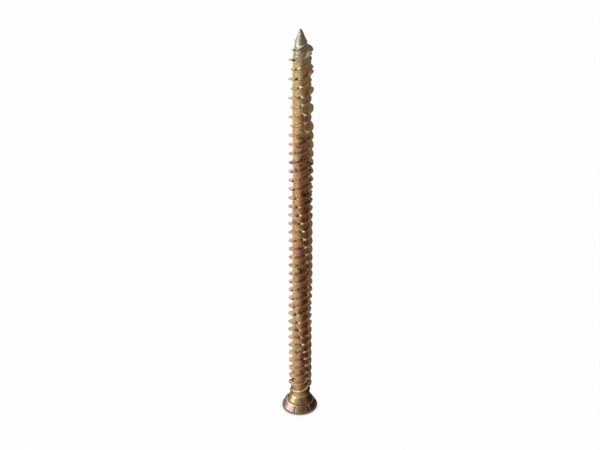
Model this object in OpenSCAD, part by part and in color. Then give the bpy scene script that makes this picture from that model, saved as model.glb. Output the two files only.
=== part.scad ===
/* [Shank] */
// Overall length, from the flat head face to the point
screw_l = 132; // [92:1:172]
// Diameter over the thread ridges
thread_d = 7.5; // [7:0.1:8.2]
// Diameter of the core between the ridges
core_d = 4.95; // [4.4:0.05:5.4]
// Diameter of the short neck between the head and the thread
neck_d = 6.1; // [5.8:0.1:6.2]
// Length over which the neck narrows to the core
neck_taper_l = 8; // [3:0.5:12]
// Length over which the thread runs out to nothing at the collar
runout_l = 3; // [2:0.5:6]
// Length of the rounded, tapering point
point_l = 10; // [7:0.5:13]
// Diameter of the blunt end of the point
tip_d = 0.3; // [0.2:0.1:0.6]

/* [Thread] */
// Advance of one ridge in a full turn; two ridges run side by side
thread_lead = 5.95; // [5:0.05:7]
// Width of a ridge at its foot
ridge_foot = 1.15; // [0.8:0.05:1.5]
// Width of a ridge's crest
ridge_crest = 0.2; // [0.1:0.05:0.4]
// Diameter over the second ridge where it starts low, near the point
low_ridge_d = 6.25; // [5.8:0.05:6.8]
// Length from the point over which the second ridge stays low
low_ridge_l = 32; // [20:1:50]
// Length over which the low ridge rises to full height
low_rise_l = 2; // [1:0.5:5]
// Length at the very point that carries no ridge
bare_point_l = 3; // [2:0.5:4]
// Length over which the ridges then rise to their height
ridge_fade_l = 3; // [2:0.5:5]
// Height above the head face where the tall ridge would cross the front
thread_front_z = 4.9; // [0:0.05:7]

/* [Notches] */
// Notches in each ridge in one turn
notch_count = 3; // [3:1:5]
// Width of a notch across the crest
notch_w = 1.9; // [1.2:0.05:2.2]
// Width of a notch's steep side; the rest is its long slope
notch_steep_w = 0.6; // [0.4:0.05:0.9]
// Depth of a notch below the crest
notch_depth = 1.1; // [0.5:0.05:1.1]
// Turn of the rows of notches for each millimetre of length, in degrees
notch_drift = 2.93; // [1:0.01:3.5]
// Turn of the first row of notches from the front at the head face, in degrees
notch_turn = 80; // [0:1:119]

/* [Head] */
// Diameter of the head over its rim
head_d = 11.4; // [10.6:0.1:12.4]
// Height of the head, from its flat face to the collar at the neck
head_h = 5.1; // [4.8:0.1:6]
// Chamfer between the flat face and the rim
rim_chamfer = 0.2; // [0.1:0.1:0.6]
// Height of the straight rim above its chamfer
rim_h = 0.5; // [0.2:0.1:0.7]
// Diameter of the ribbed band at its upper edge
band_d = 8.9; // [8.4:0.1:9.4]
// Height of the ribbed band's upper edge above the flat face
band_z = 2.8; // [2.4:0.1:3.2]
// Width of the ledge on top of the ribbed band
ledge_w = 0.3; // [0.15:0.05:0.45]
// Diameter of the collar where the head meets the neck
collar_d = 6.4; // [6.3:0.1:6.8]
// Ribs on the band under the head
rib_count = 7; // [4:1:10]
// Width of a rib
rib_w = 0.45; // [0.3:0.05:0.8]
// Height of a rib above the band at its upper end
rib_h = 0.3; // [0.15:0.05:0.45]
// Distance that the foot of a rib stays inside the rim's edge
rib_inset = 0.05; // [0.03:0.01:0.1]
// Distance of a rib's top below the ledge
rib_drop = 0.1; // [0.05:0.05:0.3]
// Turn of the first rib from the front, in degrees
rib_turn = -13; // [-25:1:25]

/* [Drive] */
// Diameter of the six-lobe recess over the tips of its lobes
recess_d = 5.6; // [5.2:0.05:6]
// Diameter of the recess between its lobes
recess_inner_d = 3.95; // [3.7:0.05:4.2]
// Radius of a lobe's tip
lobe_r = 0.45; // [0.35:0.05:0.5]
// Depth of the recess to the foot of its straight walls
recess_depth = 3; // [2.4:0.1:3.4]
// Diameter of the shallow cone at the bottom of the recess
recess_cone_d = 2.6; // [1.6:0.1:3.4]
// Depth of that cone
recess_cone_h = 0.6; // [0.3:0.1:0.8]

/* [Hidden] */
zinc_yellow = [0.78, 0.61, 0.36];
$fn = 64;
// A cut reaches this far past the face it opens
over = 0.5;

// Heights of the ridges over the core
ridge_h = (thread_d - core_d) / 2;
low_ridge_h = (low_ridge_d - core_d) / 2;

// The shank is one helical skin, from inside the head to the small cone at the very point
skin_sink = 1;
point_cone_l = 0.15;
skin_z0 = head_h - skin_sink;
skin_z1 = screw_l - point_cone_l;
// Points nearer than this to an end of the skin are drawn into that end
snap = 0.08;

// The skin's columns of points follow the rows of notches, which lean
// against the thread, so lengths along a column are shorter by this share
column_share = 1 / (1 + notch_drift * thread_lead / 360);
sector = 360 / notch_count;
steep_turn = notch_steep_w / thread_d * 360 / PI;
slope_turn = (notch_w - notch_steep_w) / thread_d * 360 / PI;
plain_steps = 6;
column_gap = (sector - slope_turn - steep_turn) / plain_steps;
// Columns in one sector: the notch bottom, then the plain ridge from the top of
// the notch's slope to the top of the next notch's steep side
sector_columns = concat([0], [for (i = [0 : plain_steps]) slope_turn + i * column_gap]);
columns = notch_count * len(sector_columns);
// Points across both ridges on one column: foot, crest, crest and foot of each
across = 8;

function ramp(x) = min(1, max(0, x));
function column_turn(i) =
  floor(i / len(sector_columns)) * sector + sector_columns[i % len(sector_columns)];
function is_notch(i) = i % len(sector_columns) == 0;

// Height of the skin at a turn along the thread, and the reverse
function thread_z(turn, offset) =
  column_share * (thread_front_z + thread_lead * (turn + notch_turn) / 360 + offset);
function thread_turn(z) =
  ((z / column_share - thread_front_z) * 360 / thread_lead) - notch_turn;

// Radius of the core: the neck, the straight shank and the rounded point
function neck_share(z) = ramp(1 - (z - head_h) / neck_taper_l);
function thread_share(z) = ramp((z - head_h) / runout_l);
function point_share(z) = 1 - pow(ramp(1 - (screw_l - z) / point_l), 2);
function shank_r(z) = (core_d + (neck_d - core_d) * neck_share(z)) / 2;
function core_r(z) = tip_d / 2 + (shank_r(z) - tip_d / 2) * point_share(z);

// Height of a ridge over the core: ridge 0 is tall, ridge 1 starts low near the point
function full_h(ridge, z) =
  ridge == 0 ? ridge_h
  : ridge_h + (low_ridge_h - ridge_h) * ramp((z - screw_l + low_ridge_l) / low_rise_l);
function tip_share(z) = ramp((screw_l - z - bare_point_l) / ridge_fade_l);
function rise(ridge, z) = core_d / 2 + full_h(ridge, z) - shank_r(z);
function crest_r(ridge, z, cut) =
  core_r(z) + rise(ridge, z) * thread_share(z) * tip_share(z) * (1 - cut);

// Offset along the column of the points of one ridge, from foot to foot
function profile_offset(j, cut) =
  let (crest = ridge_crest + (ridge_foot - ridge_crest) * cut)
  [-ridge_foot, -crest, crest, ridge_foot][j] / 2;

// One point of the skin: station i along the thread, point k across the ridges
first_turn = floor(thread_turn(skin_z0) / 360 - 1) * 360;
last_turn = ceil(thread_turn(skin_z1) / 360 + 1.5) * 360;
stations = round((last_turn - first_turn) / 360 * columns);
function station_turn(i) = first_turn + floor(i / columns) * 360 + column_turn(i % columns);
function notch_cut(i) = is_notch(i) ? notch_depth / ridge_h : 0;
function skin_z(i, k) =
  thread_z(
    station_turn(i),
    floor(k / 4) * thread_lead / 2 + profile_offset(k % 4, notch_cut(i))
  );
function around(turn, r, z) =
  let (angle = turn + notch_turn - notch_drift * z)
  [r * sin(angle), -r * cos(angle), z];
function skin_point(i, k) =
  let (
    z = skin_z(i, k),
    on_crest = k % 4 == 1 || k % 4 == 2,
    r = on_crest ? crest_r(floor(k / 4), z, notch_cut(i)) : core_r(z)
  )
  around(station_turn(i), r, z);
function ring_point(c, z) = around(column_turn(c), core_r(z), z);

// Numbers of the points, with the ends of each column drawn into two flat rings
ring0 = stations * across;
ring1 = ring0 + columns;
centre0 = ring1 + columns;
apex = centre0 + 1;
function point_no(i, k) =
  let (z = skin_z(i, k))
  z < skin_z0 + snap ? ring0 + i % columns
  : z > skin_z1 - snap ? ring1 + i % columns
  : i * across + k;
function above_no(i, k) = k + 1 < across ? point_no(i, k + 1) : point_no(i + columns, 0);
function distinct(t) = t[0] != t[1] && t[1] != t[2] && t[2] != t[0];

// Core, both ridges with their notches, runout and point, as one closed helical skin
module threaded_shank() {
  skin = [for (i = [0 : stations - 1], k = [0 : across - 1]) skin_point(i, k)];
  ends = concat(
    [for (c = [0 : columns - 1]) ring_point(c, skin_z0)],
    [for (c = [0 : columns - 1]) ring_point(c, skin_z1)],
    [[0, 0, skin_z0], [0, 0, screw_l]]
  );
  side = [
    for (i = [0 : stations - columns - 2], k = [0 : across - 1])
      let (
        a = point_no(i, k),
        b = point_no(i + 1, k),
        c = above_no(i + 1, k),
        d = above_no(i, k)
      )
      for (t = [[a, c, b], [a, d, c]])
        if (distinct(t)) t
  ];
  caps = [
    for (c = [0 : columns - 1])
      let (next = (c + 1) % columns)
      for (t = [[centre0, ring0 + c, ring0 + next], [apex, ring1 + next, ring1 + c]]) t
  ];
  polyhedron(points = concat(skin, ends), faces = concat(side, caps));
}

// Turned form of the head: flat face, rim, ribbed band, ledge, upper cone and collar
module head_blank() {
  rotate_extrude()
    polygon([
      [0, 0],
      [head_d / 2 - rim_chamfer, 0],
      [head_d / 2, rim_chamfer],
      [head_d / 2, rim_chamfer + rim_h],
      [band_d / 2, band_z],
      [band_d / 2 - ledge_w, band_z],
      [collar_d / 2, head_h],
      [0, head_h]
    ]);
}

// One rib: it stands proud at the ledge and runs out at the rim
module head_rib() {
  rotate([90, 0, 0])
    linear_extrude(rib_w, center = true)
      polygon([
        [band_d / 2 - ledge_w - rib_h, band_z - rib_drop],
        [band_d / 2 + rib_h, band_z - rib_drop],
        [head_d / 2 - rib_inset, rim_chamfer + rim_h],
        [band_d / 2 - ledge_w - rib_h, rim_chamfer + rim_h]
      ]);
}

module head() {
  head_blank();
  for (i = [0 : rib_count - 1])
    rotate(rib_turn - 90 + i * 360 / rib_count)
      head_rib();
}

// Six-lobe recess in the flat face
module drive_recess() {
  lobe_place = recess_d / 2 - lobe_r;
  inner_r = recess_inner_d / 2;
  // The round bays between the lobes run tangent into the lobes' tips
  reach = lobe_place * cos(30);
  bay_r = (pow(inner_r, 2) + pow(lobe_place, 2) - pow(lobe_r, 2) - 2 * inner_r * reach)
    / (2 * (reach + lobe_r - inner_r));
  translate([0, 0, -over])
    linear_extrude(recess_depth + over)
      union() {
        difference() {
          circle(lobe_place);
          for (i = [0 : 5])
            rotate(30 + i * 60)
              translate([inner_r + bay_r, 0])
                circle(bay_r);
        }
        for (i = [0 : 5])
          rotate(i * 60)
            translate([lobe_place, 0])
              circle(lobe_r);
      }
  rotate_extrude()
    polygon([
      [0, 0],
      [recess_cone_d / 2, 0],
      [recess_cone_d / 2, recess_depth],
      [0, recess_depth + recess_cone_h]
    ]);
}

module concrete_screw() {
  color(zinc_yellow)
    difference() {
      union() {
        head();
        threaded_shank();
      }
      drive_recess();
    }
}

concrete_screw();
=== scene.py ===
import math

import bmesh
import bpy
from mathutils import Matrix, Vector


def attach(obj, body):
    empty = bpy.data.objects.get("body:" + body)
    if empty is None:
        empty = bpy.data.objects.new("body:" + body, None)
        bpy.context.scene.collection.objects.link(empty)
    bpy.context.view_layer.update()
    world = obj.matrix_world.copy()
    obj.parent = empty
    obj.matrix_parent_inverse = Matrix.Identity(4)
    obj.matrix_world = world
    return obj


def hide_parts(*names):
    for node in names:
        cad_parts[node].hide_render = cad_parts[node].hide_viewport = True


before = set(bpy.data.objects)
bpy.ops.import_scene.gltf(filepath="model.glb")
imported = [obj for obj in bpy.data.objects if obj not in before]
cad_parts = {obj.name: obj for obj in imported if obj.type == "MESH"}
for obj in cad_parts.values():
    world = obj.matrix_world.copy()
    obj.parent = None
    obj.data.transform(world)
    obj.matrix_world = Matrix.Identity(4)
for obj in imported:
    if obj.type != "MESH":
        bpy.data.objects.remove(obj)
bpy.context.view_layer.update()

# Yellow passivated zinc. The screw is hardened steel with a thin zinc plate, and the chromate film on the
# plate is so thin that its gold drifts to rose, orange and olive from one patch to the next.
# The film is one shader group, which the thread and the head use with values of their own.
OLIVE = (0.51, 0.43, 0.18, 1)
STRAW = (0.64, 0.48, 0.22, 1)
GOLD = (0.70, 0.49, 0.26, 1)
ORANGE = (0.69, 0.37, 0.15, 1)
COPPER = (0.68, 0.37, 0.20, 1)
PINK = (0.66, 0.39, 0.31, 1)
PLUM = (0.37, 0.18, 0.16, 1)
FILM_HUES = (
    (0.30, OLIVE),
    (0.41, STRAW),
    (0.49, GOLD),
    (0.55, ORANGE),
    (0.61, COPPER),
    (0.66, PINK),
    (0.74, PLUM),
)
ROSE = (0.50, 0.352, 0.33, 1)
MURK = (0.09, 0.083, 0.07, 1)
ROOT_SHADE_BROWN = (0.17, 0.115, 0.06, 1)
RUBBED_GOLD_HIGHLIGHT = (0.56, 0.475, 0.385, 1)
DULL_ZINC = (0.15, 0.155, 0.12, 1)
BARE_ZINC = (0.52, 0.53, 0.48, 1)
FRESH_CUT_HIGHLIGHT = (0.80, 0.70, 0.60, 1)
PAINTED_SHADE_BROWN = (0.085, 0.055, 0.027, 1)
PLATE_METALLIC = 0.94
MILLIMETRES = 1000.0
SPECKLES_PER_MM = 2.2
GRAINS_PER_MM = 9.0
MURK_FINENESS = 1.7
MURK_SPAN = (0.52, 0.68)
# The speckle's span and what it gives there: a factor on the colour, a share of a tone, or a roughness
MOTTLE = ((0.34, 0.66), (0.64, 1.26))
RUBBED_LIT_SPECKLE = ((0.36, 0.6), (0.25, 0.75))
BARE_SPECKLE = ((0.36, 0.6), (0.55, 1.0))
GREY_SPECKLE = ((0.36, 0.64), (0.0, 1.0))
FRESH_HIGHLIGHT_SPECKLE = ((0.38, 0.58), (0.5, 1.0))
PLATE_ROUGHNESS = ((0.3, 0.7), (0.13, 0.3))
GRAIN_STRENGTH = 0.35
GRAIN_DEPTH = 0.00004
RUBBED_LIT_EDGE = (0.75, 1.0)
SEED_STEP = (7.3, 3.1, 5.7)
# A Mix node's colour sockets, by number because its other sockets have the same names
MIX_FIRST = 6
MIX_SECOND = 7
MIX_RESULT = 2


def wire(tree, value, socket):
    if isinstance(value, bpy.types.NodeSocket):
        tree.links.new(value, socket)
    else:
        socket.default_value = value


def calc(tree, operation, *values):
    node = tree.nodes.new("ShaderNodeMath")
    node.operation = operation
    for value, socket in zip(values, node.inputs):
        wire(tree, value, socket)
    return node.outputs[0]


def spread(tree, value, span, to=(0.0, 1.0), smooth=False):
    node = tree.nodes.new("ShaderNodeMapRange")
    node.interpolation_type = "SMOOTHSTEP" if smooth else "LINEAR"
    for number, socket in zip((value, *span, *to), node.inputs):
        wire(tree, number, socket)
    return node.outputs[0]


def cloud(tree, place, scale, detail, roughness, seed):
    shifted = tree.nodes.new("ShaderNodeVectorMath")
    shifted.operation = "ADD"
    wire(tree, place, shifted.inputs[0])
    shifted.inputs[1].default_value = [step * seed for step in SEED_STEP]
    noise = tree.nodes.new("ShaderNodeTexNoise")
    wire(tree, shifted.outputs[0], noise.inputs["Vector"])
    wire(tree, scale, noise.inputs["Scale"])
    noise.inputs["Detail"].default_value = detail
    noise.inputs["Roughness"].default_value = roughness
    return noise.outputs["Fac"]


def grey_tone(tree, value):
    tone = tree.nodes.new("ShaderNodeCombineColor")
    for socket in tone.inputs:
        tree.links.new(value, socket)
    return tone.outputs[0]


def blend(tree, share, first, second, kind="MIX"):
    node = tree.nodes.new("ShaderNodeMix")
    node.data_type = "RGBA"
    node.blend_type = kind
    wire(tree, share, node.inputs["Factor"])
    wire(tree, first, node.inputs[MIX_FIRST])
    wire(tree, second, node.inputs[MIX_SECOND])
    return node.outputs[MIX_RESULT]


film = bpy.data.node_groups.new("chromate film", "ShaderNodeTree")
film.interface.new_socket(name="Place", in_out="INPUT", socket_type="NodeSocketVector")
for name in (
    "Patch size",
    "Hue shift",
    "Edge wear and highlight",
    "Root shade",
    "Dark share",
    "Rose share",
    "Fresh highlight share",
    "Painted shade",
    "Bare share",
):
    film.interface.new_socket(name=name, in_out="INPUT", socket_type="NodeSocketFloat")
film.interface.new_socket(name="Colour", in_out="OUTPUT", socket_type="NodeSocketColor")
film.interface.new_socket(name="Roughness", in_out="OUTPUT", socket_type="NodeSocketFloat")
film.interface.new_socket(name="Grain", in_out="OUTPUT", socket_type="NodeSocketFloat")
film_in = film.nodes.new("NodeGroupInput").outputs
film_out = film.nodes.new("NodeGroupOutput").inputs
scaled = film.nodes.new("ShaderNodeVectorMath")
scaled.operation = "SCALE"
scaled.inputs["Scale"].default_value = MILLIMETRES
film.links.new(film_in["Place"], scaled.inputs[0])
place = scaled.outputs[0]
patch = calc(film, "DIVIDE", 1.0, film_in["Patch size"])
patches = cloud(film, place, patch, detail=3.0, roughness=0.55, seed=1)
hue = film.nodes.new("ShaderNodeValToRGB")
film.links.new(calc(film, "ADD", patches, film_in["Hue shift"]), hue.inputs[0])
stops = hue.color_ramp.elements
stops[0].position, stops[0].color = FILM_HUES[0]
stops[1].position, stops[1].color = FILM_HUES[-1]
for position, colour in FILM_HUES[1:-1]:
    stops.new(position).color = colour
colour = blend(film, film_in["Rose share"], hue.outputs["Color"], ROSE)
# Thin, dark film in patches
murk_scale = calc(film, "MULTIPLY", patch, MURK_FINENESS)
murk_patches = cloud(film, place, murk_scale, detail=2.0, roughness=0.5, seed=7)
murk = spread(film, murk_patches, MURK_SPAN, smooth=True)
colour = blend(film, calc(film, "MULTIPLY", murk, film_in["Dark share"]), colour, MURK)
# Mottling at the scale of the plate's crystals
speckle = cloud(film, place, SPECKLES_PER_MM, detail=4.0, roughness=0.65, seed=3)
mottle = grey_tone(film, spread(film, speckle, *MOTTLE))
colour = blend(film, 1.0, colour, mottle, "MULTIPLY")
# Painted shade: the colour turns browner where the root shade input asks, in the thread's roots, the
# head's groove and recess, and the head's right side
colour = blend(film, film_in["Root shade"], colour, ROOT_SHADE_BROWN)
# Edges are paled as wear and as a painted highlight, bare zinc shows where the film is gone, and notches
# have a pale side, fresh metal with a painted highlight, and a dark side of painted shade
rubbed_and_lit = calc(film, "MULTIPLY", film_in["Edge wear and highlight"], spread(film, speckle, *RUBBED_LIT_SPECKLE))
colour = blend(film, rubbed_and_lit, colour, RUBBED_GOLD_HIGHLIGHT)
bare = calc(film, "MULTIPLY", film_in["Bare share"], spread(film, speckle, *BARE_SPECKLE))
grey = blend(film, spread(film, speckle, *GREY_SPECKLE), DULL_ZINC, BARE_ZINC)
colour = blend(film, bare, colour, grey)
# Pale fresh metal, which is also a painted highlight
fresh_highlight = calc(film, "MULTIPLY", film_in["Fresh highlight share"], spread(film, speckle, *FRESH_HIGHLIGHT_SPECKLE))
colour = blend(film, fresh_highlight, colour, FRESH_CUT_HIGHLIGHT)
# Painted shade on the dark side of notches and beside the head's ribs
colour = blend(film, film_in["Painted shade"], colour, PAINTED_SHADE_BROWN)
film.links.new(colour, film_out["Colour"])
film.links.new(spread(film, speckle, *PLATE_ROUGHNESS), film_out["Roughness"])
grain = cloud(film, place, GRAINS_PER_MM, detail=3.0, roughness=0.6, seed=4)
film.links.new(grain, film_out["Grain"])


def mesh_mark(tree, name):
    mark = tree.nodes.new("ShaderNodeAttribute")
    mark.attribute_name = name
    return mark.outputs["Fac"]


def zinc_finish(name, patch_size):
    material = bpy.data.materials.new(name)
    material.use_nodes = True
    tree = material.node_tree
    shader = tree.nodes["Principled BSDF"]
    shader.inputs["Metallic"].default_value = PLATE_METALLIC
    layer = tree.nodes.new("ShaderNodeGroup")
    layer.node_tree = film
    layer.inputs["Patch size"].default_value = patch_size
    coordinates = tree.nodes.new("ShaderNodeTexCoord")
    tree.links.new(coordinates.outputs["Object"], layer.inputs["Place"])
    where = tree.nodes.new("ShaderNodeSeparateXYZ")
    tree.links.new(coordinates.outputs["Object"], where.inputs[0])
    ridge_mark = mesh_mark(tree, "ridge")
    # Crests and worn rings are paled, partly as wear and partly as a painted highlight
    tree.links.new(spread(tree, ridge_mark, RUBBED_LIT_EDGE), layer.inputs["Edge wear and highlight"])
    grain_bump = tree.nodes.new("ShaderNodeBump")
    grain_bump.inputs["Strength"].default_value = GRAIN_STRENGTH
    grain_bump.inputs["Distance"].default_value = GRAIN_DEPTH
    tree.links.new(layer.outputs["Grain"], grain_bump.inputs["Height"])
    tree.links.new(grain_bump.outputs["Normal"], shader.inputs["Normal"])
    tree.links.new(layer.outputs["Colour"], shader.inputs["Base Color"])
    tree.links.new(layer.outputs["Roughness"], shader.inputs["Roughness"])
    return material, layer.inputs, where.outputs, ridge_mark, mesh_mark(tree, "cut")


# Threaded shank. Two ridges are rolled side by side into the wire from the neck to the point, and the die
# nicks each ridge three times a turn. Near the point the second ridge is low, so the pair cuts in steps.
THREAD_PATCH = 3.1
# Heights up the shank between which its film and its painted root shade change; the root shade is stronger
# near the head
WARM_ZONE = (0.03, 0.05)
ROOT_SHADE_ZONE = (0.05, 0.10)
DARK_ZONE = (0.095, 0.108)
OLIVE_ZONE = (0.095, 0.123)
BARE_ZONE = (0.120, 0.1285)
ROOT_SHADE_WIDTH = (0.0, 0.35)
FRESH_HIGHLIGHT_SLOPE = (0.0, 1.0)
SHADE_SLOPE = (0.0, -1.0)
thread_zinc, thread_film, thread_place, thread_ridge, thread_cut_light = zinc_finish(
    "yellow zinc thread", THREAD_PATCH
)
thread_tree = thread_zinc.node_tree
thread_z = thread_place["Z"]
warm = spread(thread_tree, thread_z, WARM_ZONE, (0.025, 0.055), smooth=True)
olive = spread(thread_tree, thread_z, OLIVE_ZONE, (0.0, -0.16), smooth=True)
# Painted shade between the ridges, stronger near the head
root = spread(thread_tree, thread_ridge, ROOT_SHADE_WIDTH, (1.0, 0.0))
root_shade_share = spread(thread_tree, thread_z, ROOT_SHADE_ZONE, (0.25, 0.1), smooth=True)
for name, value in (
    ("Hue shift", calc(thread_tree, "ADD", warm, olive)),
    ("Root shade", calc(thread_tree, "MULTIPLY", root, root_shade_share)),
    ("Dark share", spread(thread_tree, thread_z, DARK_ZONE, (0.85, 0.3), smooth=True)),
    ("Bare share", spread(thread_tree, thread_z, BARE_ZONE, (0.0, 0.95), smooth=True)),
    ("Fresh highlight share", spread(thread_tree, thread_cut_light, FRESH_HIGHLIGHT_SLOPE, (0.0, 0.6))),
    ("Painted shade", spread(thread_tree, thread_cut_light, SHADE_SLOPE, (0.0, 0.85))),
):
    wire(thread_tree, value, thread_film[name])

HEAD_H = 0.0051
SHANK_SIZES = (
    ("Length", 0.132),
    ("Head height", HEAD_H),
    ("Neck diameter", 0.0061),
    ("Core diameter", 0.00495),
    ("Thread diameter", 0.0075),
    ("Low ridge diameter", 0.00625),
    ("Low ridge length", 0.032),
    ("Low ridge rise", 0.002),
    ("Neck taper", 0.008),
    ("Run-out", 0.003),
    ("Point length", 0.01),
    ("Tip diameter", 0.0003),
    ("Tip rounding", 0.00042),
    ("Tip wear", 0.00025),
    ("Point lean", 0.0002),
    ("Bare point", 0.003),
    ("Ridge fade", 0.003),
    ("Lead", 0.00595),
    ("Front height", 0.0049),
    ("Ridge foot", 0.00115),
    ("Ridge crest", 0.0002),
    ("Notch width", 0.0019),
    ("Notch steep side", 0.0006),
    ("Notch depth", 0.0011),
    ("Core lobe height", 0.00006),
    ("Notch drift", math.radians(2930.0)),
    ("Notch turn", math.radians(80.0)),
    ("Lobe turn", math.radians(5.0)),
)
SHANK_COUNTS = (
    ("Notches", 3),
    ("Columns", 114),
    ("Ridges", 48),
    ("Rows per ridge", 14),
)
# How strongly columns gather at a notch and rows on a ridge
COLUMN_BUNCH = 0.4
ROW_BUNCH = 0.6
RIDGES_BELOW_NECK = 3.0
ROOT_FILLET = 0.16
CREST_ROUND = 0.1
# Share of the tip's rounding after which it opens into the cone, and how fast
CAP_SHARE = 0.58
CAP_FLARE = 3.0
# How steeply a cut face is marked, and where on its slope painted shade turns to fresh metal with a
# painted highlight
CUT_GAIN = 2.0
CUT_TURN = 0.1
CUT_BLEND = 0.3
SEAM_WIDTH = 0.000003

shank_tree = bpy.data.node_groups.new("threaded shank", "GeometryNodeTree")
shank_tree.interface.new_socket(name="Geometry", in_out="OUTPUT", socket_type="NodeSocketGeometry")
shank_sockets = {}
for kind, names in (
    ("NodeSocketFloat", [name for name, value in SHANK_SIZES]),
    ("NodeSocketInt", [name for name, value in SHANK_COUNTS]),
    ("NodeSocketMaterial", ["Finish"]),
):
    for name in names:
        shank_sockets[name] = shank_tree.interface.new_socket(name=name, in_out="INPUT", socket_type=kind)
sizes = shank_tree.nodes.new("NodeGroupInput").outputs


def shank(operation, *values):
    return calc(shank_tree, operation, *values)


def half(value):
    return shank("MULTIPLY", value, 0.5)


def ramp(value):
    return shank("MINIMUM", shank("MAXIMUM", value, 0.0), 1.0)


# A flat sheet of points: across it runs one turn, and up it run all the ridges, closer together on a ridge
sheet = shank_tree.nodes.new("GeometryNodeMeshGrid")
sheet.inputs["Size X"].default_value = 1.0
sheet.inputs["Size Y"].default_value = 1.0
sheet_rows = shank("MULTIPLY_ADD", sizes["Ridges"], sizes["Rows per ridge"], 1)
shank_tree.links.new(shank("ADD", sizes["Columns"], 1), sheet.inputs["Vertices X"])
shank_tree.links.new(sheet_rows, sheet.inputs["Vertices Y"])
sheet_point = shank_tree.nodes.new("GeometryNodeInputPosition")
sheet_place = shank_tree.nodes.new("ShaderNodeSeparateXYZ")
shank_tree.links.new(sheet_point.outputs[0], sheet_place.inputs[0])
even_turn = shank("MULTIPLY", shank("ADD", sheet_place.outputs["X"], 0.5), math.tau)
column_wave = shank("SINE", shank("MULTIPLY", even_turn, sizes["Notches"]))
bunch = shank("DIVIDE", column_wave, sizes["Notches"])
turn = shank("SUBTRACT", even_turn, shank("MULTIPLY", bunch, COLUMN_BUNCH))
even_row = shank("MULTIPLY", shank("ADD", sheet_place.outputs["Y"], 0.5), sizes["Ridges"])
row_wave = shank("SINE", shank("MULTIPLY", even_row, math.tau))
row = shank("SUBTRACT", even_row, shank("MULTIPLY", row_wave, ROW_BUNCH / math.tau))

# Height of each point, held between the collar and the worn end
pitch = half(sizes["Lead"])
climb = shank("DIVIDE", sizes["Lead"], math.tau)
column_share = shank("DIVIDE", 1.0, shank("MULTIPLY_ADD", sizes["Notch drift"], climb, 1.0))
turned = shank("ADD", turn, sizes["Notch turn"])
column_foot = shank("MULTIPLY_ADD", turned, climb, sizes["Front height"])
row_height = shank("MULTIPLY_ADD", shank("SUBTRACT", row, RIDGES_BELOW_NECK), pitch, column_foot)
free_z = shank("MULTIPLY", column_share, row_height)
worn_end = shank("SUBTRACT", sizes["Length"], sizes["Tip wear"])
z = shank("MINIMUM", shank("MAXIMUM", free_z, sizes["Head height"]), worn_end)
offset = shank("SUBTRACT", shank("DIVIDE", z, column_share), column_foot)
ridge_no = shank("ROUND", shank("DIVIDE", offset, pitch))
from_crest = shank("ABSOLUTE", shank("SUBTRACT", offset, shank("MULTIPLY", ridge_no, pitch)))
is_second = shank("FLOORED_MODULO", ridge_no, 2.0)

# Core: neck, straight shank and rounded point, with three faint lobes
core_full = half(sizes["Core diameter"])
above_head = shank("SUBTRACT", z, sizes["Head height"])
to_point = shank("SUBTRACT", sizes["Length"], z)
thread_share = ramp(shank("DIVIDE", above_head, sizes["Run-out"]))
past_bare = shank("SUBTRACT", to_point, sizes["Bare point"])
tip_share = ramp(shank("DIVIDE", past_bare, sizes["Ridge fade"]))
thread_rise = shank("MULTIPLY", thread_share, tip_share)
neck_extra = shank("SUBTRACT", half(sizes["Neck diameter"]), core_full)
neck_share = ramp(shank("SUBTRACT", 1.0, shank("DIVIDE", above_head, sizes["Neck taper"])))
shank_r = shank("MULTIPLY_ADD", neck_extra, neck_share, core_full)
blunt = ramp(shank("SUBTRACT", 1.0, shank("DIVIDE", to_point, sizes["Point length"])))
blunt_square = shank("MULTIPLY", blunt, blunt)
taper = shank("SUBTRACT", 1.0, blunt_square)
tip_r = half(sizes["Tip diameter"])
cone_r = shank("MULTIPLY_ADD", shank("SUBTRACT", shank_r, tip_r), taper, tip_r)
to_end = shank("DIVIDE", shank("SUBTRACT", worn_end, z), sizes["Tip rounding"])
end_gap = shank("SUBTRACT", 1.0, ramp(to_end))
end_round = shank("SQRT", shank("SUBTRACT", 1.0, shank("MULTIPLY", end_gap, end_gap)))
past_cap = shank("MAXIMUM", shank("SUBTRACT", to_end, CAP_SHARE), 0.0)
cap_share = shank("ADD", end_round, shank("MULTIPLY", past_cap, CAP_FLARE))
cap_r = shank("MULTIPLY", sizes["Tip rounding"], cap_share)
lobe_turn = shank("MULTIPLY", shank("SUBTRACT", turn, sizes["Lobe turn"]), sizes["Notches"])
lobe = shank("MULTIPLY", shank("SINE", lobe_turn), sizes["Core lobe height"])
core_r = shank("ADD", shank("MINIMUM", cone_r, cap_r), shank("MULTIPLY", lobe, thread_rise))

# Ridge: straight flanks with a small root fillet, cut down at each notch
flank_reach = shank("SUBTRACT", half(sizes["Ridge foot"]), from_crest)
flank_width = half(shank("SUBTRACT", sizes["Ridge foot"], sizes["Ridge crest"]))
flank = shank("SMOOTH_MAX", shank("DIVIDE", flank_reach, flank_width), 0.0, ROOT_FILLET)
flank = shank("SMOOTH_MIN", flank, 1.0, CREST_ROUND)
thread_r = half(sizes["Thread diameter"])
ridge_h = half(shank("SUBTRACT", sizes["Thread diameter"], sizes["Core diameter"]))
sector_half = shank("DIVIDE", math.pi, sizes["Notches"])
past_notch = shank("WRAP", turn, sector_half, shank("MULTIPLY", sector_half, -1.0))
slope_w = shank("SUBTRACT", sizes["Notch width"], sizes["Notch steep side"])
slope_turn = shank("DIVIDE", slope_w, thread_r)
steep_turn = shank("DIVIDE", sizes["Notch steep side"], thread_r)
up_slope = shank("DIVIDE", past_notch, slope_turn)
up_steep = shank("MULTIPLY", shank("DIVIDE", past_notch, steep_turn), -1.0)
notch = ramp(shank("SUBTRACT", 1.0, shank("MAXIMUM", up_slope, up_steep)))
notch_share = shank("DIVIDE", sizes["Notch depth"], ridge_h)
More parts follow.
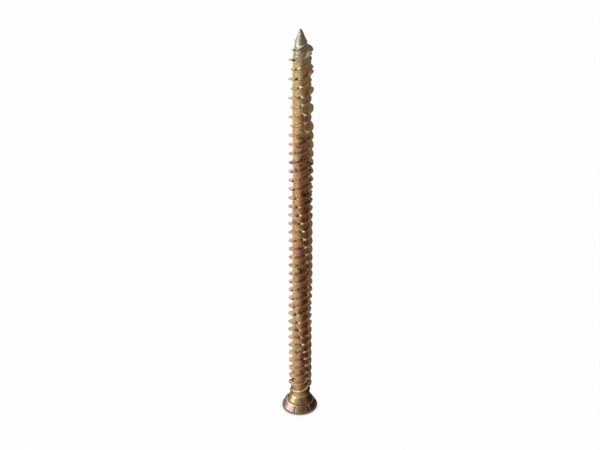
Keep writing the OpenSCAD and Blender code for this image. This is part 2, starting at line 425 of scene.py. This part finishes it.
notch_cap = shank("SUBTRACT", 1.0, shank("MULTIPLY", notch, notch_share))
ridge = shank("MINIMUM", flank, notch_cap)
lowered = half(shank("SUBTRACT", sizes["Thread diameter"], sizes["Low ridge diameter"]))
past_low = shank("SUBTRACT", sizes["Low ridge length"], to_point)
low_share = ramp(shank("DIVIDE", past_low, sizes["Low ridge rise"]))
low_share = shank("MULTIPLY", low_share, is_second)
full_r = shank("SUBTRACT", thread_r, shank("MULTIPLY", lowered, low_share))
rise = shank("MULTIPLY", shank("SUBTRACT", full_r, shank_r), thread_rise)
radius = shank("MULTIPLY_ADD", rise, ridge, core_r)

# The sheet is rolled up round the axis, and the point leans a little to the left
angle = shank("SUBTRACT", turned, shank("MULTIPLY", sizes["Notch drift"], z))
lean = shank("MULTIPLY", blunt_square, sizes["Point lean"])
rolled_x = shank("SUBTRACT", shank("MULTIPLY", radius, shank("SINE", angle)), lean)
rolled_y = shank("MULTIPLY", shank("MULTIPLY", radius, shank("COSINE", angle)), -1.0)
around = shank_tree.nodes.new("ShaderNodeCombineXYZ")
for value, socket in zip((rolled_x, rolled_y, z), around.inputs):
    shank_tree.links.new(value, socket)

# The finish reads where the ridges are, and which side of a notch gets fresh metal with a painted
# highlight and which gets painted shade
cut_share = ramp(shank("MULTIPLY", shank("SUBTRACT", flank, ridge), CUT_GAIN))
notch_light_side = shank("DIVIDE", shank("SUBTRACT", up_slope, CUT_TURN), CUT_BLEND)
notch_light_side = shank("MAXIMUM", shank("MINIMUM", notch_light_side, 1.0), -1.0)
geometry = sheet.outputs["Mesh"]
for name, value in (("ridge", ridge), ("cut", shank("MULTIPLY", cut_share, notch_light_side))):
    mark = shank_tree.nodes.new("GeometryNodeStoreNamedAttribute")
    mark.domain = "POINT"
    mark.data_type = "FLOAT"
    mark.inputs["Name"].default_value = name
    shank_tree.links.new(geometry, mark.inputs["Geometry"])
    shank_tree.links.new(value, mark.inputs["Value"])
    geometry = mark.outputs[0]
roll = shank_tree.nodes.new("GeometryNodeSetPosition")
shank_tree.links.new(around.outputs[0], roll.inputs["Position"])
close = shank_tree.nodes.new("GeometryNodeMergeByDistance")
close.inputs["Distance"].default_value = SEAM_WIDTH
real = shank_tree.nodes.new("GeometryNodeRealizeInstances")
plate = shank_tree.nodes.new("GeometryNodeSetMaterial")
shank_tree.links.new(sizes["Finish"], plate.inputs["Material"])
for node in (roll, close, real, plate):
    shank_tree.links.new(geometry, node.inputs["Geometry"])
    geometry = node.outputs[0]
shank_tree.links.new(geometry, shank_tree.nodes.new("NodeGroupOutput").inputs["Geometry"])

screw = bpy.data.objects.new("screw", bpy.data.meshes.new("wire blank"))
bpy.context.collection.objects.link(screw)
rolling = screw.modifiers.new("rolled thread", "NODES")
rolling.node_group = shank_tree
for name, value in (*SHANK_SIZES, *SHANK_COUNTS, ("Finish", thread_zinc)):
    rolling[shank_sockets[name].identifier] = value
screw_mesh = bpy.data.meshes.new_from_object(screw.evaluated_get(bpy.context.evaluated_depsgraph_get()))
screw.modifiers.remove(rolling)
screw.data = screw_mesh
# The sheet brings an empty material slot along, so the list starts afresh
screw_mesh.materials.clear()
screw_mesh.materials.append(thread_zinc)

# Countersunk head. It is upset from the same wire: a flat face with a six-lobe recess, a ribbed band that
# mills its own seat, a ledge, and an upper cone that ends in a small collar at the neck.
# Its plate is gold and rose on the left, and painted shade darkens it to brown on the right, away from the
# lamp.
HEAD_PATCH = 3.0
GOLD_SHIFT = -0.07
HOLLOW_SHADE_SPAN = (0.0, 0.2)
# Distances to the left and right between which the head's film changes, and the ledge's heights. Brown and
# dark film grow towards the right as painted shade, and pale fresh metal grows towards the left as a
# painted highlight.
ROSE_SIDE = (-0.0052, -0.0038)
GOLD_SIDE = (-0.0035, 0.0)
MURK_AND_SHADE_SIDE = (-0.003, 0.0015)
RIGHT_SHADE_SIDE = (-0.0015, 0.0)
WARM_SIDE = (-0.0015, 0.0005)
LEFT_HIGHLIGHT_SIDE = (-0.001, 0.0025)
LEDGE_ZONE = (0.0027, 0.0030)
head_zinc, head_film, head_place, head_ridge, head_fresh_and_shade = zinc_finish("yellow zinc head", HEAD_PATCH)
head_tree = head_zinc.node_tree
head_x = head_place["X"]
# Painted shade in the groove and the recess, where the rings' wear is near 0
hollow_shade = spread(head_tree, head_ridge, HOLLOW_SHADE_SPAN, (0.85, 0.0))
# Painted shade: browner towards the right side, away from the lamp
right_side_shade = spread(head_tree, head_x, RIGHT_SHADE_SIDE, (0.0, 0.3))
on_left = spread(head_tree, head_x, GOLD_SIDE, (1.0, 0.0), smooth=True)
on_band = spread(head_tree, head_place["Z"], LEDGE_ZONE, (1.0, 0.0))
on_cone = calc(head_tree, "SUBTRACT", 1.0, on_band)
off_edge = spread(head_tree, head_x, ROSE_SIDE, (0.2, 0.85), smooth=True)
rose_band = calc(head_tree, "MULTIPLY", on_left, on_band)
gold_cone = calc(head_tree, "MULTIPLY", on_left, on_cone)
gold_shift = calc(head_tree, "MULTIPLY", gold_cone, GOLD_SHIFT)
warm_shift = spread(head_tree, head_x, WARM_SIDE, (0.0, 0.045))
fresh_highlight_mark = calc(head_tree, "MAXIMUM", head_fresh_and_shade, 0.0)
# Painted highlight: more pale fresh metal towards the lit left side
left_side_highlight = spread(head_tree, head_x, LEFT_HIGHLIGHT_SIDE, (0.95, 0.3))
for name, value in (
    ("Root shade", calc(head_tree, "MAXIMUM", hollow_shade, right_side_shade)),
    # Painted shade: the dark patches grow stronger towards the right
    ("Dark share", spread(head_tree, head_x, MURK_AND_SHADE_SIDE, (0.1, 0.25))),
    ("Rose share", calc(head_tree, "MULTIPLY", rose_band, off_edge)),
    ("Hue shift", calc(head_tree, "ADD", gold_shift, warm_shift)),
    ("Fresh highlight share", calc(head_tree, "MULTIPLY", fresh_highlight_mark, left_side_highlight)),
    ("Painted shade", spread(head_tree, head_fresh_and_shade, SHADE_SLOPE, (0.0, 0.9))),
):
    wire(head_tree, value, head_film[name])
screw_mesh.materials.append(head_zinc)

HEAD_R = 0.0057
COLLAR_R = 0.00325
CONE_TOP_R = 0.0032
CONE_FOOT_R = 0.00424
CONE_RINGS = 8
CONE_START = 0.14
CONE_STRETCH = 0.68
BAND_R = 0.00445
BAND_Z = 0.0028
RIM_Z = 0.0007
RIM_ROUND = 0.0002
RIM_STEPS = 4
NECK_RUB = 0.0007
RIBS = 7
RIB_TURN = math.radians(-13.0)
RIB_H = 0.0003
RIB_W = 0.00045
RIB_FLANK_W = 0.00014
RIB_SINK = 0.00005
RIB_TOP = 0.0027
RIB_END_H = 0.00008
RIB_WEAR_AND_SHADE_Z = 0.0009
RIB_SHADE_W = 0.0005
RECESS_R = 0.0028
RECESS_Z = 0.003
RECESS_LOBES = 6
LOBE_R = 0.00045
INNER_R = 0.001975
RECESS_CONE_R = 0.0013
RECESS_CONE_H = 0.0006
COLUMN_SPLIT = 5
SHARP_TURN = math.radians(42.0)

# How worn the rings of the head are, where 1 is an edge rubbed down to fresh metal. The same values paint
# shade where they are near 0, in the groove and the recess, and where they are 1 they are wear on the
# collar and rim edges and a painted highlight on the ledge and the band's top edge
FRESH_WEAR_AND_HIGHLIGHT = 1.0
RIM_WEAR = 0.8
SIDE_WEAR = 0.3
FACE_WEAR = 0.2
# Rounded edge of the collar: how far in, how far down, and wear
COLLAR_EDGE = ((0.00017, 0.0, 0.9), (0.0001, 0.00002, 1.0), (0.00004, 0.00008, 1.0), (0.0, 0.0002, 1.0))
# Groove at the cone's foot, then out over the ledge: radius, height above the ledge, and wear, whose 0
# paints shade in the groove and whose 1 paints a highlight on the ledge's edge
LEDGE_RINGS = (
    (0.00406, 0.00030, 0.1),
    (0.00403, 0.00018, 0.0),
    (0.00401, 0.00006, 0.0),
    (0.00405, 0.00001, 0.0),
    (0.00412, 0.0, 0.6),
    (0.00430, -0.00001, 1.0),
    (0.00440, -0.00003, 1.0),
)
# Heights of the band's rings, which are fresh above the rubbed height, with a painted highlight there
BAND_HEIGHTS = (0.00274, 0.0027, 0.00266, 0.00255, 0.0024, 0.0022, 0.0019, 0.0016, 0.0013, 0.001, 0.0008)
BAND_RUBBED_LIT_Z = 0.0026
# Rim below the band: how far in, height, and wear
RIM_RINGS = ((0.00003, RIM_Z, 0.8), (0.0, RIM_Z - 0.00008, 1.0), (0.0, 0.0003, 0.8))
FACE_RADII = (0.0052, 0.0042, 0.0032)
# Rounded mouth and wall of the recess: how far outside its outline, height, and wear, whose low values on
# the wall paint shade in the recess
RECESS_RINGS = (
    (0.00008, 0.0, 0.9),
    (0.00002, 0.00002, 1.0),
    (0.0, 0.00008, 0.9),
    (0.0, 0.0015, 0.1),
    (0.0, RECESS_Z, 0.0),
)

lobe_half = math.pi / RECESS_LOBES
lobe_place = RECESS_R - LOBE_R
lobe_reach = lobe_place * math.cos(lobe_half)
bay_r = (INNER_R ** 2 + lobe_place ** 2 - LOBE_R ** 2 - 2 * INNER_R * lobe_reach) / (
    2 * (lobe_reach + LOBE_R - INNER_R)
)
bay_place = INNER_R + bay_r


def recess_r(turn):
    from_lobe = abs((turn + lobe_half) % (2 * lobe_half) - lobe_half)
    from_bay = lobe_half - from_lobe
    bay_reach = bay_r ** 2 - (bay_place * math.sin(from_bay)) ** 2
    lobe_width = LOBE_R ** 2 - (lobe_place * math.sin(from_lobe)) ** 2
    tip = lobe_place * math.cos(from_lobe) + math.sqrt(max(lobe_width, 0.0))
    if bay_reach < 0.0:
        return tip
    bay = bay_place * math.cos(from_bay) - math.sqrt(bay_reach)
    return min(tip, bay) if lobe_width > 0.0 else bay


def rib_share(turn, radius):
    step = math.tau / RIBS
    from_rib = abs((turn - RIB_TURN + step / 2) % step - step / 2)
    beside = from_rib * radius - RIB_W / 2
    share = min(max(0.5 - beside / RIB_FLANK_W, 0.0), 1.0)
    return share * share * (3 - 2 * share)


def band_r(turn, height):
    along = (height - RIM_Z) / (BAND_Z - RIM_Z)
    plain = HEAD_R + (BAND_R - HEAD_R) * along
    rib_along = (height - RIM_Z) / (RIB_TOP - RIM_Z)
    proud = max(0.0, RIB_H * rib_along - RIB_SINK * (1 - rib_along))
    if height > RIB_TOP:
        proud = RIB_H * max(0.0, 1 - (height - RIB_TOP) / RIB_END_H)
    return plain + proud * rib_share(turn, plain)


# Ribs are rubbed to fresh metal on their crests, with a painted highlight there too, and get painted shade
# along their left side
def rib_wear_and_shade(turn, radius, height):
    if height > RIB_TOP or height < RIB_WEAR_AND_SHADE_Z:
        return 0.0
    on_crest = rib_share(turn, radius)
    beside = rib_share(turn + RIB_SHADE_W / radius, radius)
    return on_crest - beside * (1 - on_crest)


def round_ring(ring_r):
    return lambda turn: ring_r


def ribbed_ring(height):
    return lambda turn: band_r(turn, height)


def lobed_ring(outside):
    return lambda turn: recess_r(turn) + outside


# Rings from the collar down, round the rim and up into the recess: rule for the radius, height, and wear,
# whose values also paint shade and highlights
rings = [(round_ring(COLLAR_R - inside), HEAD_H - below, wear_and_light) for inside, below, wear_and_light in COLLAR_EDGE]
for step in range(CONE_RINGS):
    along = CONE_START + CONE_STRETCH * step / (CONE_RINGS - 1)
    ring_r = CONE_TOP_R + (CONE_FOOT_R - CONE_TOP_R) * along
    ring_z = HEAD_H + (BAND_Z - HEAD_H) * along
    rings.append((round_ring(ring_r), ring_z, SIDE_WEAR if step else RIM_WEAR))
rings += [(round_ring(ring_r), BAND_Z + above, wear_and_light) for ring_r, above, wear_and_light in LEDGE_RINGS]
for height in BAND_HEIGHTS:
    rings.append((ribbed_ring(height), height, FRESH_WEAR_AND_HIGHLIGHT if height > BAND_RUBBED_LIT_Z else SIDE_WEAR))
rings += [(round_ring(HEAD_R - inside), height, wear_and_light) for inside, height, wear_and_light in RIM_RINGS]
for step in range(RIM_STEPS):
    bend = math.pi / 2 * (step + 0.5) / RIM_STEPS
    ring_r = HEAD_R - RIM_ROUND * (1 - math.cos(bend))
    rings.append((round_ring(ring_r), RIM_ROUND * (1 - math.sin(bend)), RIM_WEAR))
rings += [(round_ring(face_r), 0.0, FACE_WEAR) for face_r in FACE_RADII]
rings += [(lobed_ring(outside), height, wear_and_light) for outside, height, wear_and_light in RECESS_RINGS]
# The recess floor's rings carry wear 0, which paints shade there
rings.append((round_ring(RECESS_CONE_R), RECESS_Z, 0.0))
rings.append((round_ring(RECESS_CONE_R / 2), RECESS_Z + RECESS_CONE_H / 2, 0.0))

body = bmesh.new()
body.from_mesh(screw_mesh)
wear_and_light_layer = body.verts.layers.float["ridge"]
cut = body.verts.layers.float["cut"]
for vertex in body.verts:
    vertex[cut] = max(vertex[cut], 1.0 - (vertex.co.z - HEAD_H) / NECK_RUB)


def turn_of(vertex):
    return math.atan2(vertex.co.x, -vertex.co.y)


neck_ring = sorted((v for v in body.verts if v.is_boundary), key=turn_of)
column_turns = []
for here, there in zip(neck_ring, neck_ring[1:] + neck_ring[:1]):
    gap = (turn_of(there) - turn_of(here)) % math.tau
    column_turns += [turn_of(here) + gap * k / COLUMN_SPLIT for k in range(COLUMN_SPLIT)]
head_rings = []
for rule, height, wear_and_light in rings:
    ring = []
    for head_turn in column_turns:
        ring_r = rule(head_turn)
        vertex = body.verts.new((ring_r * math.sin(head_turn), -ring_r * math.cos(head_turn), height))
        vertex[wear_and_light_layer] = wear_and_light
        vertex[cut] = 1.0 if wear_and_light == FRESH_WEAR_AND_HIGHLIGHT else rib_wear_and_shade(head_turn, ring_r, height)
        ring.append(vertex)
    head_rings.append(ring)
head_faces = []
count = len(column_turns)
for upper, lower in zip(head_rings, head_rings[1:]):
    for c in range(count):
        n = (c + 1) % count
        head_faces.append(body.faces.new((upper[c], lower[c], lower[n], upper[n])))
centre = body.verts.new((0.0, 0.0, RECESS_Z + RECESS_CONE_H))
for c in range(count):
    head_faces.append(body.faces.new((head_rings[-1][c], centre, head_rings[-1][(c + 1) % count])))
collar = head_rings[0]
for c, here in enumerate(neck_ring):
    there = neck_ring[(c + 1) % len(neck_ring)]
    for k in range(COLUMN_SPLIT):
        first = collar[c * COLUMN_SPLIT + k]
        second = collar[(c * COLUMN_SPLIT + k + 1) % count]
        head_faces.append(body.faces.new((here, first, second)))
    head_faces.append(body.faces.new((here, collar[(c + 1) * COLUMN_SPLIT % count], there)))
thread_slot = screw_mesh.materials.find(thread_zinc.name)
head_slot = screw_mesh.materials.find(head_zinc.name)
for face in body.faces:
    face.smooth = True
    face.material_index = thread_slot
for face in head_faces:
    face.material_index = head_slot
bmesh.ops.recalc_face_normals(body, faces=body.faces)
body.to_mesh(screw_mesh)
body.free()
screw_mesh.set_sharp_from_angle(angle=SHARP_TURN)
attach(screw, "root")
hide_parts("concrete_screw")

# Floor: plain white paper under the screw, which stands on its head. Camera and mirror rays see it as
# white, with a thin contact shadow where the head shades it. Other rays see the light that falls on it.
FLOOR_HALF = 2.0
PAPER_WHITE = (0.9, 0.9, 0.9, 1)
PAPER_GLOW = 0.98
SHADOW_REACH = 0.0014
SHADOW_SPAN = (0.45, 0.9)
SHADOW_TONE = (0.55, 1.0)
floor_corners = [
    (x * FLOOR_HALF, y * FLOOR_HALF, 0.0) for x, y in ((-1, -1), (1, -1), (1, 1), (-1, 1))
]
floor_mesh = bpy.data.meshes.new("floor")
floor_mesh.from_pydata(floor_corners, [], [(0, 1, 2, 3)])
floor = bpy.data.objects.new("floor", floor_mesh)
bpy.context.collection.objects.link(floor)
paper = bpy.data.materials.new("white paper")
paper.use_nodes = True
paper_tree = paper.node_tree
paper_tree.nodes.remove(paper_tree.nodes["Principled BSDF"])
paper_lit = paper_tree.nodes.new("ShaderNodeBsdfDiffuse")
paper_lit.inputs["Color"].default_value = PAPER_WHITE
contact = paper_tree.nodes.new("ShaderNodeAmbientOcclusion")
contact.inputs["Distance"].default_value = SHADOW_REACH
contact_tone = spread(paper_tree, contact.outputs["AO"], SHADOW_SPAN, SHADOW_TONE)
paper_glow = paper_tree.nodes.new("ShaderNodeEmission")
paper_tree.links.new(grey_tone(paper_tree, contact_tone), paper_glow.inputs["Color"])
paper_mix = paper_tree.nodes.new("ShaderNodeMixShader")


def seen_directly(tree):
    path = tree.nodes.new("ShaderNodeLightPath")
    seen = calc(tree, "MAXIMUM", path.outputs["Is Camera Ray"], path.outputs["Is Glossy Ray"])
    return calc(tree, "MAXIMUM", seen, path.outputs["Is Transmission Ray"])


paper_seen = calc(paper_tree, "MULTIPLY", seen_directly(paper_tree), PAPER_GLOW)
for value, socket in zip((paper_seen, paper_lit.outputs[0], paper_glow.outputs[0]), paper_mix.inputs):
    paper_tree.links.new(value, socket)
paper_tree.links.new(paper_mix.outputs[0], paper_tree.nodes["Material Output"].inputs["Surface"])
floor_mesh.materials.append(paper)

# Light: a soft window-sized lamp from the left and dim white surroundings. Cards that only mirror rays see
# glow with set tones and give the metal its tones: a bent brown one on the right, a dark strip behind the
# head, and a dark ring where the head meets the paper. The strip and the ring are a painted shadow,
# standing in for the head's shadow on the paper as the metal mirrors it.
SKY_WHITE = (1, 1, 1, 1)
SKY_LEVELS = (0.35, 1.0)
LAMP_SIZE = 0.9
LAMP_ENERGY = 3.2
LAMP_PLACE = Vector((-0.52, -0.22, 0.36))
LAMP_AIM = Vector((0, 0, 0.06))
world = bpy.data.worlds.new("white studio")
bpy.context.scene.world = world
world.use_nodes = True
sky_tree = world.node_tree
sky = sky_tree.nodes["Background"]
sky.inputs["Color"].default_value = SKY_WHITE
sky_level = spread(sky_tree, seen_directly(sky_tree), (0.0, 1.0), SKY_LEVELS)
sky_tree.links.new(sky_level, sky.inputs["Strength"])
lamp_data = bpy.data.lights.new("window", "AREA")
lamp_data.shape = "SQUARE"
lamp_data.size = LAMP_SIZE
lamp_data.energy = LAMP_ENERGY
lamp = bpy.data.objects.new("window", lamp_data)
lamp.location = LAMP_PLACE
lamp.rotation_euler = (LAMP_AIM - LAMP_PLACE).to_track_quat("-Z", "Y").to_euler()
bpy.context.collection.objects.link(lamp)

card_paint = bpy.data.materials.new("studio card")
card_paint.use_nodes = True
card_tree = card_paint.node_tree
card_tree.nodes.remove(card_tree.nodes["Principled BSDF"])
card_tone = card_tree.nodes.new("ShaderNodeAttribute")
card_tone.attribute_name = "tone"
card_glow = card_tree.nodes.new("ShaderNodeEmission")
card_tree.links.new(card_tone.outputs["Color"], card_glow.inputs["Color"])
card_tree.links.new(card_glow.outputs[0], card_tree.nodes["Material Output"].inputs["Surface"])
CARD_STEP = 10


# A card is swept round the axis: rows of radius and height, angles from the front, and a rule for its tone
def studio_card(name, rows, angles, tone):
    points = []
    faces = []
    tones = []
    first_angle, last_angle = angles
    for column, card_angle in enumerate(range(first_angle, last_angle + CARD_STEP, CARD_STEP)):
        card_turn = math.radians(card_angle)
        for k, (row_r, row_z) in enumerate(rows):
            points.append((row_r * math.sin(card_turn), -row_r * math.cos(card_turn), row_z))
            tones += [*tone(card_angle, k), 1.0]
            if column and k:
                corner = len(points) - 1
                beside = corner - len(rows)
                faces.append((beside - 1, beside, corner, corner - 1))
    mesh = bpy.data.meshes.new(name)
    mesh.from_pydata(points, [], faces)
    mesh.color_attributes.new("tone", "FLOAT_COLOR", "POINT").data.foreach_set("color", tones)
    mesh.materials.append(card_paint)
    card = bpy.data.objects.new(name, mesh)
    bpy.context.collection.objects.link(card)
    card.visible_camera = False
    card.visible_diffuse = False
    card.visible_shadow = False


CARD_WHITE = 0.95
CARD_FLOOR_BROWN = (0.225, 0.148, 0.078)
CARD_WALL_BROWN = (0.208, 0.15, 0.116)
CARD_ANGLES = (-50, 180)
CARD_FLOOR_ROWS = 2
CARD_ROWS = ((0.012, 0.0005), (0.07, 0.0005), (0.07, 0.012), (0.07, 0.055), (0.07, 0.09), (0.07, 0.30))
# For each row, the angle at which its white has faded to brown, its least white, and its white at the back
CARD_FADE_ENDS = (32.0, 30.0, 14.0, 14.0, 28.0, 28.0)
CARD_PALE = (0.0, 0.0, 0.0, 0.0, 0.1, 0.1)
CARD_BACK = (0.4, 0.4, 0.2, 0.0, 0.0, 0.0)
CARD_FADE_ANGLE = 75.0
CARD_BACK_START = 140.0
CARD_BACK_ANGLE = 40.0
STRIP_ANGLES = (60, 280)
STRIP_ROWS = ((0.0075, 0.0006), (0.012, 0.0006), (0.012, 0.0085))
SHADOW_DARK = (0.035, 0.031, 0.022)
STRIP_PALE_START = 215.0
STRIP_PALE_ANGLE = 120.0
STRIP_PALE_MOST = 0.4
RING_ANGLES = (0, 360)
RING_ROWS = ((0.00575, 0.0003), (0.0075, 0.0004))


def brown_tone(card_angle, row):
    pale = max(CARD_PALE[row], min(1.0, (CARD_FADE_ENDS[row] - card_angle) / CARD_FADE_ANGLE))
    pale = max(pale, CARD_BACK[row] * (card_angle - CARD_BACK_START) / CARD_BACK_ANGLE)
    browns = CARD_FLOOR_BROWN if row < CARD_FLOOR_ROWS else CARD_WALL_BROWN
    return [brown + (CARD_WHITE - brown) * pale for brown in browns]


def strip_tone(card_angle, row):
    pale = max(0.0, min(STRIP_PALE_MOST, (card_angle - STRIP_PALE_START) / STRIP_PALE_ANGLE))
    return [dark + pale for dark in SHADOW_DARK]


studio_card("brown_card", CARD_ROWS, CARD_ANGLES, brown_tone)
# Painted shadow: a dark strip and ring that the metal mirrors as the head's shadow on the paper
studio_card("back_shadow_strip", STRIP_ROWS, STRIP_ANGLES, strip_tone)
studio_card("contact_shadow_ring", RING_ROWS, RING_ANGLES, lambda card_angle, row: SHADOW_DARK)

# Camera: in front of the screw and well above it, with a long lens, turned by a fifth of a degree.
# It looks at a point close to the axis, a little above the middle of the screw.
CAMERA_PLACE = Vector((-0.00017, -0.3470, 0.26378))
CAMERA_AIM = Vector((-0.00017, 0.0, 0.068297))
CAMERA_ROLL = math.radians(0.218)
camera_data = bpy.data.cameras.new("camera")
camera_data.sensor_fit = "HORIZONTAL"
camera_data.sensor_width = 36.0
camera_data.lens = 78.19
camera_data.clip_start = 0.01
camera = bpy.data.objects.new("camera", camera_data)
camera.location = CAMERA_PLACE
looking = (CAMERA_AIM - CAMERA_PLACE).to_track_quat("-Z", "Y").to_matrix()
camera.rotation_euler = (looking @ Matrix.Rotation(CAMERA_ROLL, 3, "Z")).to_euler()
bpy.context.collection.objects.link(camera)
bpy.context.scene.camera = camera
bpy.context.scene.view_settings.view_transform = "Standard"
